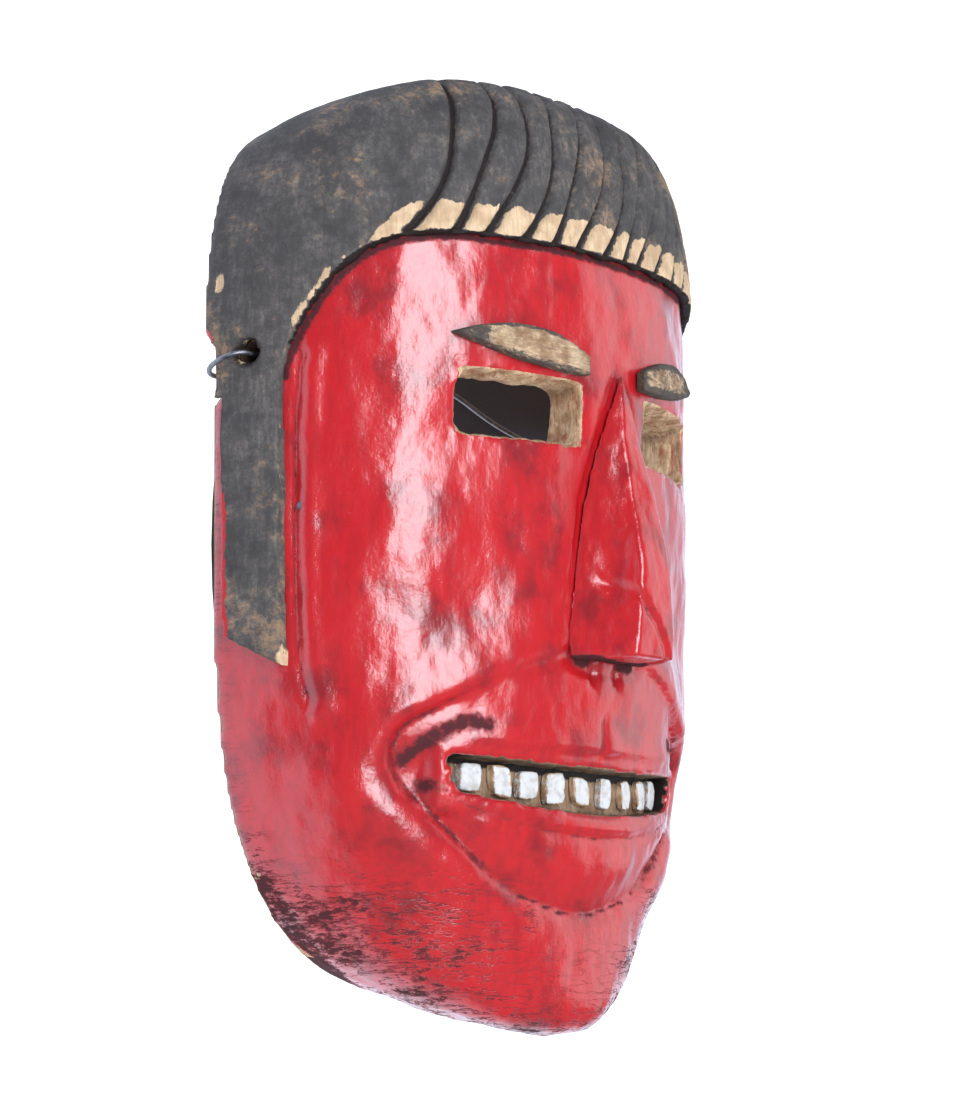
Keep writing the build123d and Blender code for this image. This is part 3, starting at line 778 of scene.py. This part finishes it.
def carve_brow(node):
    """A brow of bare wood, with black left along its edges and ends."""
    piece = Piece(node, 0.45, smoothing=3)
    p = piece.points
    x, y, z = p.T
    piece.push(0.4 * noise(p, (10, 4, 3), 61, 2) + 0.15 * noise(p, (6, 1.5, 1.5), 62, 2))
    on_left_half = x.mean() > 0
    if on_left_half:
        piece.points[:, 1] += BROW_SINK * rises(x, 16, 20)
        piece.write()
    places = np.linspace(x.min(), x.max(), 25)
    lows = [z[np.abs(x - at) < 1.5].min() for at in places]
    highs = [z[np.abs(x - at) < 1.5].max() for at in places]
    low = np.interp(x, places, lows)
    rise = (z - low) / np.maximum(np.interp(x, places, highs) - low, 0.5)
    dark = np.maximum.reduce([rises(rise, 0.72, 0.25), 0.9 * falls(rise, 0.30, 0.25),
                              rises(np.abs(x), 38, 10), 0.45 * falls(np.abs(x), 15, 3)])
    piece.paint("groove", np.minimum(0.08 + 0.75 * dark + 0.4 * on_left_half, 1))
    return piece


TIP_DENT_DEPTH = 1.0
NOSE_SIDE_DEPTH = 0.9


def carve_nose():
    """The wedge nose, with hollowed sides and a dent across its tip."""
    piece = Piece("nose", 0.55, smoothing=16)
    p = piece.points
    x, y, z = p.T
    push = 0.6 * noise(p, (8, 8, 12), 71, 2) + 0.2 * noise(p, (2.5, 2.5, 5), 72, 2)
    tip = spot(z, x, (-17, -3), (7, 6))
    push += tip * 0.6 * noise(p, 3.5, 73, 2)
    dent, _ = to_curve(x, z, TIP_DENT)
    push -= TIP_DENT_DEPTH * band(dent, 2.4) * falls(y, -68, 4)
    push -= NOSE_SIDE_DEPTH * spot(np.abs(x - nose_middle(z)), z, (11, -8), (4, 16))
    piece.push(push)
    for mask in ("bare", "char_and_shade", "inside"):
        piece.paint(mask, np.zeros(len(p)))
    piece.paint("worn", 0.12 * rises(z, 20, 20) + 0.40 * tip)
    # Painted shade under the nose and along the dent across its tip.
    underside_shade = falls(z, NOSE_LOW[2] + 1.5, 1.2)
    piece.paint("groove", np.maximum(0.9 * underside_shade * rises(y, -74, 5), 0.35 * band(dent, 1.0)))
    return piece


def carve_gums():
    """The wood band behind the teeth, with painted shade above them and in the corners, and a little
    darker below them.
    """
    piece = Piece("gum_strip", 0.4, smoothing=1)
    p = piece.points
    piece.push(0.4 * noise(p, (1.6, 3, 6), 81, 2))
    ax = np.abs(p[:, 0])
    middle = (MOUTH_LOW[2] + MOUTH_HIGH[2]) / 2 + 3 * (ax / 48) ** 2 - 1
    # Painted shade above the teeth and at the corners; below them the band is only a little darker.
    upper = rises(p[:, 2] - middle, 2.2, 1.6)
    lower = falls(p[:, 2] - middle, -3.4, 1.6)
    piece.paint("groove", np.maximum.reduce([0.95 * rises(ax, 41, 4), 0.8 * upper, 0.35 * lower]) + 0.1)
    return piece


def carve_tooth(node, number):
    """Each tooth is a little wider, shorter and more slanted than the next, by its number."""
    piece = Piece(node, 0.3, smoothing=3)
    p = piece.points
    low, high = p.min(0), p.max(0)
    middle = (low + high) / 2
    size = (high - low) / 2
    away = (p - middle) / size
    corner = np.abs(away[:, 0]) ** 3 * np.abs(away[:, 2]) ** 3
    narrow = 1.00 + 0.14 * np.sin(5.1 * number)
    short = 1.04 + 0.07 * np.cos(3.3 * number)
    lean = away[:, 2] * 0.5 * np.sin(2.3 * number)
    slant = away[:, 0] * 0.45 * np.cos(1.7 * number)
    piece.points[:, 0] = middle[0] + (p[:, 0] - middle[0]) * narrow + lean
    piece.points[:, 2] = middle[2] + (p[:, 2] - middle[2]) * short + slant
    piece.write()
    piece.push(-1.0 * corner + 0.3 * noise(p, 2.2, 90 + number, 2))
    edge = np.minimum((1 - np.abs(away[:, 0])) * size[0], (1 - np.abs(away[:, 2])) * size[2])
    piece.paint("worn", 0.5 * band(edge, 1.1) + 0.22 + 0.12 * np.sin(4.0 * number))
    return piece


# ---- Build -----------------------------------------------------------------------------------
lacquer = red_lacquer()
carve_face().finish(lacquer, "red_lacquer")
carve_nose().finish(lacquer, "red_lacquer")
hair = hair_paint()
carve_hair().finish(hair, "hair_paint")
for name in ("sideburn_left", "sideburn_right"):
    carve_sideburn(name).finish(hair, "hair_paint")
brow = brow_wood()
for name in ("brow_left", "brow_right"):
    carve_brow(name).finish(brow, "brow_wood")
carve_gums().finish(gum_wood(), "bare_wood")
white = tooth_paint()
teeth = sorted(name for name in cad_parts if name.startswith("tooth"))
for number, name in enumerate(teeth, start=1):
    carve_tooth(name, number).finish(white, "tooth_paint")
wire_steel = steel("wire_steel")
for name in ("hanging_wire", "cheek_nail"):
    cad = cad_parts[name]
    cad.data.materials.clear()
    cad.data.materials.append(wire_steel)


# ---- Stage -----------------------------------------------------------------------------------
FLOOR_Z = -0.42
FLOOR_SIZE = 60
FLOOR_COLOUR = (0.95, 0.92, 0.84, 1)
FLOOR_GLOW = (1.0, 0.98, 0.90, 1)
FLOOR_GLOW_STRENGTH = 0.34
CARD_Y = 0.002
CARD_SIZE = (0.080, 0.113, 1)
# The colour of the painted wall shade that shows through the eyes.
WALL_SHADE_COLOUR = (0.10, 0.11, 0.15, 1)
WORLD_FRONT = 0.12
WORLD_BACK = 1.35
WORLD_TURN = (-0.15, 0.35)
WORLD_TINT = (0.86, 0.93, 1.12, 1)
PLAIN_WHITE = (1, 1, 1, 1)


def add_floor():
    """A wide pale floor below the mask; its own faint glow keeps it near white."""
    bpy.ops.mesh.primitive_plane_add(size=FLOOR_SIZE, location=(0, 0, FLOOR_Z))
    floor = bpy.context.object
    floor.name = "floor"
    paint = Paint("floor_white", Roughness=0.9, Emission_Strength=FLOOR_GLOW_STRENGTH)
    floor.data.materials.append(paint.out(Base_Color=FLOOR_COLOUR, Emission_Color=FLOOR_GLOW))
    floor.visible_glossy = False


def add_card():
    """Painted shade: a dark card across the back, in place of the shaded wall that the mask hangs on.

    It shows only through the eyes: it casts nothing on the mask, and its back is clear.
    """
    bpy.ops.mesh.primitive_circle_add(vertices=64, radius=1, fill_type="NGON",
                                      rotation=(pi / 2, 0, 0), location=(0, CARD_Y, 0))
    card = bpy.context.object
    card.name = "wall_shade_card"
    card.scale = CARD_SIZE
    material = bpy.data.materials.new("painted_wall_shade")
    material.use_nodes = True
    nodes, links = material.node_tree.nodes, material.node_tree.links
    front = nodes["Principled BSDF"]
    front.inputs["Base Color"].default_value = WALL_SHADE_COLOUR
    front.inputs["Roughness"].default_value = 0.9
    clear = nodes.new("ShaderNodeBsdfTransparent")
    sides = nodes.new("ShaderNodeMixShader")
    links.new(nodes.new("ShaderNodeNewGeometry").outputs["Backfacing"], sides.inputs["Fac"])
    links.new(front.outputs["BSDF"], sides.inputs[1])
    links.new(clear.outputs["BSDF"], sides.inputs[2])
    links.new(sides.outputs["Shader"], nodes["Material Output"].inputs["Surface"])
    card.data.materials.append(material)
    card.visible_diffuse = False
    card.visible_glossy = False
    card.visible_transmission = False
    card.visible_shadow = False


def add_softbox(name, azimuth, elevation, distance, size, power, colour):
    data = bpy.data.lights.new(name, "AREA")
    data.shape = "RECTANGLE"
    data.size, data.size_y = size
    data.energy = power
    data.color = colour
    lamp = bpy.data.objects.new(name, data)
    bpy.context.scene.collection.objects.link(lamp)
    aim(lamp, from_angles(azimuth, elevation, distance))


def add_world():
    """White behind the mask and dim in front of it; the background itself is plain white."""
    world = bpy.data.worlds.new("studio")
    bpy.context.scene.world = world
    world.use_nodes = True
    nodes, links = world.node_tree.nodes, world.node_tree.links
    background = nodes["Background"]
    direction = nodes.new("ShaderNodeSeparateXYZ")
    links.new(nodes.new("ShaderNodeTexCoord").outputs["Generated"], direction.inputs["Vector"])
    behind = nodes.new("ShaderNodeMapRange")
    behind.interpolation_type = "SMOOTHSTEP"
    behind.inputs["From Min"].default_value, behind.inputs["From Max"].default_value = WORLD_TURN
    behind.inputs["To Min"].default_value = WORLD_FRONT
    behind.inputs["To Max"].default_value = WORLD_BACK
    links.new(direction.outputs["Y"], behind.inputs["Value"])
    camera_ray = nodes.new("ShaderNodeLightPath").outputs["Is Camera Ray"]
    seen = nodes.new("ShaderNodeMath")
    seen.operation = "MAXIMUM"
    links.new(behind.outputs["Result"], seen.inputs[0])
    links.new(camera_ray, seen.inputs[1])
    tint = nodes.new("ShaderNodeMix")
    tint.data_type = "RGBA"
    tint_a, tint_b = (socket for socket in tint.inputs if socket.type == "RGBA")
    tint_a.default_value = WORLD_TINT
    tint_b.default_value = PLAIN_WHITE
    links.new(camera_ray, tint.inputs["Factor"])
    links.new(next(socket for socket in tint.outputs if socket.type == "RGBA"), background.inputs["Color"])
    links.new(seen.outputs["Value"], background.inputs["Strength"])


bpy.context.scene.view_settings.view_transform = "Standard"
add_camera()
add_world()
add_floor()
add_card()
add_softbox("window", azimuth=-21, elevation=14, distance=1.1, size=(0.50, 0.9), power=13,
            colour=(0.88, 0.93, 1.0))
add_softbox("right_panel", azimuth=62, elevation=8, distance=1.3, size=(1.0, 1.2), power=3.6,
            colour=(0.94, 0.97, 1.0))
